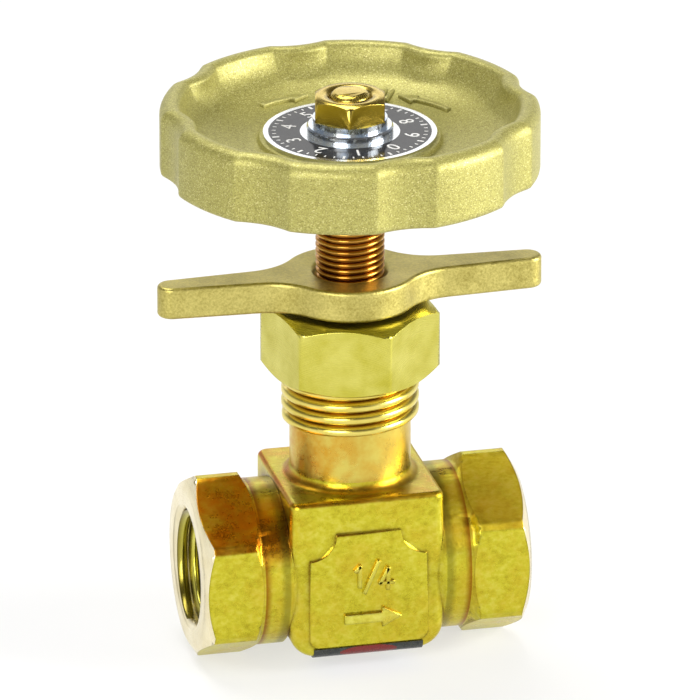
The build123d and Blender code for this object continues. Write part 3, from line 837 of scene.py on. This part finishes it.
arrow = raisedShape("flowArrow", arrowOutline(flowArrow), flowArrow["thickness"], frontPlane,
                    paints["mark"], flowArrow["bevel"])
mount(arrow, "valve", "forged_brass")
numeralSizes = {"lift": 0.7, "width": 0.5, "thickness": 0.5, "bevel": 0.10}
numeralStrokes = {
    "one": [((-1.15, -0.95), (-1.15, 1.45)), ((-1.15, 1.45), (-1.6, 1.0))],
    "bar": [((-0.55, -1.75), (1.05, 1.9))],
    "four": [((2.2, -1.45), (2.2, 0.95)), ((2.2, 0.95), (1.3, -0.75)), ((1.3, -0.75), (2.75, -0.75))],
}
for numeral, bars in numeralStrokes.items():
    for place, (start, end) in enumerate(bars):
        lifted = [(x, y + numeralSizes["lift"]) for x, y in (start, end)]
        bar = raisedShape(f"size_{numeral}_{place}", stroke(*lifted, numeralSizes["width"]),
                          numeralSizes["thickness"], frontPlane, paints["mark"], numeralSizes["bevel"])
        mount(bar, "valve", "forged_brass")
print("raised marks made")

dialMarks = {"numbers": 10, "numberRadius": 7.1, "fontSize": 2.565, "zeroAngle": -60, "tickRadius": 8.75,
             "ticks": 50, "tickLength": 0.8, "tickWidth": 0.16, "longEvery": 5, "shortLength": 0.55,
             "longWidth": 1.8}             # the last two are shares of tickLength and tickWidth
inkThickness = 0.04 * mm


# Evenly spaced printed bars round a dial, pointing at its middle, with a long, wide one at intervals.
def tickTree():
    tree, inputs, outputs = newTree("dialTicks", [
        ("Count", "Int", 50), ("Radius", "Float", 0.009), ("Length", "Float", 0.001),
        ("Width", "Float", 0.0002), ("Thickness", "Float", 0.0001), ("Height", "Float", 0.0),
        ("Long Every", "Int", 5), ("Short Length", "Float", 0.55), ("Long Width", "Float", 1.8),
        ("Paint", "Material", None)])
    take = inputs.outputs
    ring = node(tree, "GeometryNodeMeshCircle")
    link(tree, take["Count"], ring.inputs["Vertices"])
    link(tree, take["Radius"], ring.inputs["Radius"])
    position = node(tree, "GeometryNodeInputPosition").outputs[0]
    x, y = splitAxes(tree, position)[:2]
    angle = maths(tree, "ARCTAN2", y, x)
    index = node(tree, "GeometryNodeInputIndex").outputs[0]
    isLong = maths(tree, "LESS_THAN", maths(tree, "MODULO", index, take["Long Every"]), 0.5)
    longer = maths(tree, "SUBTRACT", 1.0, take["Short Length"])
    wider = maths(tree, "SUBTRACT", take["Long Width"], 1.0)
    length = maths(tree, "ADD", take["Short Length"], maths(tree, "MULTIPLY", isLong, longer))
    width = maths(tree, "ADD", 1.0, maths(tree, "MULTIPLY", isLong, wider))
    bar = node(tree, "GeometryNodeMeshCube")
    barSize = joinAxes(tree, take["Length"], take["Width"], take["Thickness"])
    link(tree, barSize, bar.inputs["Size"])
    spread = node(tree, "GeometryNodeInstanceOnPoints")
    link(tree, ring.outputs["Mesh"], spread.inputs["Points"])
    link(tree, bar.outputs["Mesh"], spread.inputs["Instance"])
    link(tree, joinAxes(tree, 0.0, 0.0, angle), spread.inputs["Rotation"])
    link(tree, joinAxes(tree, length, width, 1.0), spread.inputs["Scale"])
    lift = node(tree, "GeometryNodeTransform")
    link(tree, spread.outputs["Instances"], lift.inputs["Geometry"])
    link(tree, joinAxes(tree, 0.0, 0.0, take["Height"]), lift.inputs["Translation"])
    closeTree(tree, lift.outputs["Geometry"], inputs, outputs)
    return tree


ticks = grow("dialTicks", tickTree(), {
    "Count": dialMarks["ticks"], "Radius": dialMarks["tickRadius"] * mm,
    "Length": dialMarks["tickLength"] * mm, "Width": dialMarks["tickWidth"] * mm,
    "Thickness": inkThickness, "Height": plateHigh.z, "Long Every": dialMarks["longEvery"],
    "Short Length": dialMarks["shortLength"], "Long Width": dialMarks["longWidth"], "Paint": paints["ink"]})
mount(ticks, "spindle", "plate")


# A plain number lying on the dial, its foot towards the middle.
def dialNumber(value, angle):
    text = bpy.data.curves.new("number", "FONT")
    text.body = str(value)
    text.size = dialMarks["fontSize"] * mm
    text.align_x, text.align_y = "CENTER", "CENTER"
    text.extrude = inkThickness / 2
    text.resolution_u = 4
    holder = newPiece("number", text)
    mesh = evaluatedMesh(holder)
    bpy.data.objects.remove(holder)
    at = Vector((cos(angle), sin(angle), 0)) * dialMarks["numberRadius"] * mm
    at.z = plateHigh.z
    mesh.transform(Matrix.Translation(at) @ Matrix.Rotation(angle - pi / 2, 4, "Z"))
    shape = bmesh.new()
    shape.from_mesh(mesh)
    bmesh.ops.remove_doubles(shape, verts=shape.verts, dist=1e-7)
    bmesh.ops.recalc_face_normals(shape, faces=shape.faces)
    shape.to_mesh(mesh)
    shape.free()
    mesh.materials.clear()
    mesh.materials.append(paints["ink"])
    return mount(newPiece(f"dialNumber_{value}", mesh), "spindle", "plate")


for number in range(dialMarks["numbers"]):
    dialNumber(number, radians(dialMarks["zeroAngle"] - 360 / dialMarks["numbers"] * number))

turnMarks = {"radius": 14.4, "width": 0.75, "head": 2.0, "headAngle": 9.0, "arcSteps": 14,
             "arcs": ((122, 96), (24, 54)), "ribs": (58, 61), "ribLength": 2.4, "ribWidth": 0.55,
             "foot": 3.55, "thickness": 0.57, "bevel": 0.14}


# A curved arrow in the dish, from its tail's angle to its tip's.
def curvedArrow(tail, tip):
    radius, steps = turnMarks["radius"], turnMarks["arcSteps"]
    shaft, head = turnMarks["width"] / 2, turnMarks["head"] / 2
    way = 1 if tip > tail else -1
    neck = tip - way * turnMarks["headAngle"]
    turns = [tail + (neck - tail) * i / steps for i in range(steps + 1)]

    def at(reach, angle):
        return (reach * cos(radians(angle)), reach * sin(radians(angle)))

    outer = [at(radius + shaft, a) for a in turns] + [at(radius + head, neck)]
    inner = [at(radius - head, neck)] + [at(radius - shaft, a) for a in turns[::-1]]
    return outer + [at(radius, tip)] + inner


dishPlane = Matrix.Translation((0, 0, wheelLow.z + turnMarks["foot"] * mm))
marks = [curvedArrow(tail, tip) for tail, tip in turnMarks["arcs"]]
for rib in turnMarks["ribs"]:
    way = Vector((cos(radians(rib)), sin(radians(rib))))
    middle = way * turnMarks["radius"]
    half = way * turnMarks["ribLength"] / 2
    marks.append(stroke(middle - half, middle + half, turnMarks["ribWidth"]))
for place, outline in enumerate(marks):
    mark = raisedShape(f"turnMark_{place}", outline, turnMarks["thickness"], dishPlane,
                       paints["wheel"], turnMarks["bevel"])
    mount(mark, "spindle", "wheel_paint")
print("dial and turn marks made")

# Inner parts keep their CAD shape and only take a finish, as do the nodes under the finished pieces.
cadFinish = {
    "bonnet": "turned", "packing_washer": "turned", "packing_gland": "turned", "bonnet_gasket": "gasket",
    "packing_ring_lower": "packing", "packing_ring_middle": "packing", "packing_ring_upper": "packing",
    "needle_tip": "steel", "thrust_ball": "steel", "body": "forged", "union_nut": "turned",
    "stem": "thread", "lock_wing": "cast", "handwheel": "wheel", "dial_plate": "plate",
    "flat_washer": "zinc", "spring_washer": "zinc", "wheel_nut": "wheelNut", "base_label": "label",
}
for nodeName, paint in cadFinish.items():
    for place in frame["nodes"][nodeName].material_slots:
        place.material = paints[paint]


floorLook = {"half": 3.0, "height": -0.05 * mm, "colour": (0.84, 0.84, 0.84), "rough": 0.9, "glow": 0.6}


# A white floor that glows a little towards the camera, so that its far edge fades into the sky.
def whiteStage(name):
    half, height = floorLook["half"], floorLook["height"]
    mesh = bpy.data.meshes.new(name)
    corners = [(x * half, y * half, height) for x, y in ((-1, -1), (1, -1), (1, 1), (-1, 1))]
    mesh.from_pydata(corners, [], [(0, 1, 2, 3)])
    made = bpy.data.materials.new(name)
    made.use_nodes = True
    tree = made.node_tree
    shader = tree.nodes["Principled BSDF"]
    shader.inputs["Base Color"].default_value = (*floorLook["colour"], 1)
    shader.inputs["Roughness"].default_value = floorLook["rough"]
    rays = node(tree, "ShaderNodeLightPath")
    seen = maths(tree, "MAXIMUM", rays.outputs["Is Camera Ray"], rays.outputs["Is Glossy Ray"])
    seen = maths(tree, "MAXIMUM", seen, rays.outputs["Is Transmission Ray"])
    shown = node(tree, "ShaderNodeEmission")
    shown.inputs["Strength"].default_value = 1.0
    mixed = node(tree, "ShaderNodeMixShader")
    link(tree, maths(tree, "MULTIPLY", seen, floorLook["glow"]), mixed.inputs["Fac"])
    link(tree, shader.outputs[0], mixed.inputs[1])
    link(tree, shown.outputs[0], mixed.inputs[2])
    link(tree, mixed.outputs[0], tree.nodes["Material Output"].inputs["Surface"])
    mesh.materials.append(made)
    piece = newPiece(name, mesh)
    return piece


whiteStage("studioFloor")

world = bpy.data.worlds.new("studio")
bpy.context.scene.world = world
world.use_nodes = True
sky = world.node_tree
background = sky.nodes["Background"]
direction = node(sky, "ShaderNodeSeparateXYZ")
link(sky, node(sky, "ShaderNodeTexCoord").outputs["Generated"], direction.inputs[0])
gradient = ramp(sky, span(sky, direction.outputs["Z"], -0.2, 1.0),
                [(0.0, (1.0, 1.0, 1.0)), (0.25, (0.95, 0.95, 0.95)), (0.42, (0.42, 0.41, 0.40)),
                 (0.6, (0.15, 0.14, 0.13)), (1.0, (0.09, 0.08, 0.07))])
link(sky, gradient, background.inputs["Color"])
background.inputs["Strength"].default_value = 1.0

lampTarget = Vector((0, 0, 0.03))
lamps = {
    "keyLamp": {"place": (-0.45, -0.60, 0.35), "size": (0.40, 0.50), "power": 4.6},
    "fillLamp": {"place": (0.62, -0.30, 0.20), "size": (0.32, 0.50), "power": 8.0},
    "backLamp": {"place": (0.12, 0.80, 0.36), "size": (0.70, 0.22), "power": 0.7},
    "topLamp": {"place": (-0.10, 0.25, 0.80), "size": (0.50, 0.50), "power": 5.0},
}
for name, lamp in lamps.items():
    light = bpy.data.lights.new(name, "AREA")
    light.shape = "RECTANGLE"
    light.size, light.size_y = lamp["size"]
    light.energy = lamp["power"]
    holder = bpy.data.objects.new(name, light)
    bpy.context.scene.collection.objects.link(holder)
    holder.location = lamp["place"]
    aim = lampTarget - holder.location
    holder.rotation_euler = aim.to_track_quat("-Z", "Y").to_euler()

view = {"turn": 13.46, "lift": 21.77, "distance": 1.205, "lens": 535.5, "sensor": 36,
        "aim": 25.31 * mm}
lens = bpy.data.cameras.new("camera")
lens.lens = view["lens"]
lens.sensor_width = view["sensor"]
lens.clip_start, lens.clip_end = 0.05, 20
camera = bpy.data.objects.new("camera", lens)
bpy.context.scene.collection.objects.link(camera)
turn, lift = radians(view["turn"]), radians(view["lift"])
target = Vector((0, 0, flowHeight + view["aim"]))
outward = Vector((-sin(turn) * cos(lift), -cos(turn) * cos(lift), sin(lift)))
camera.location = target + view["distance"] * outward
camera.rotation_euler = (target - camera.location).to_track_quat("-Z", "Y").to_euler()
bpy.context.scene.camera = camera

bpy.context.scene.view_settings.view_transform = "Standard"
print("scene made")
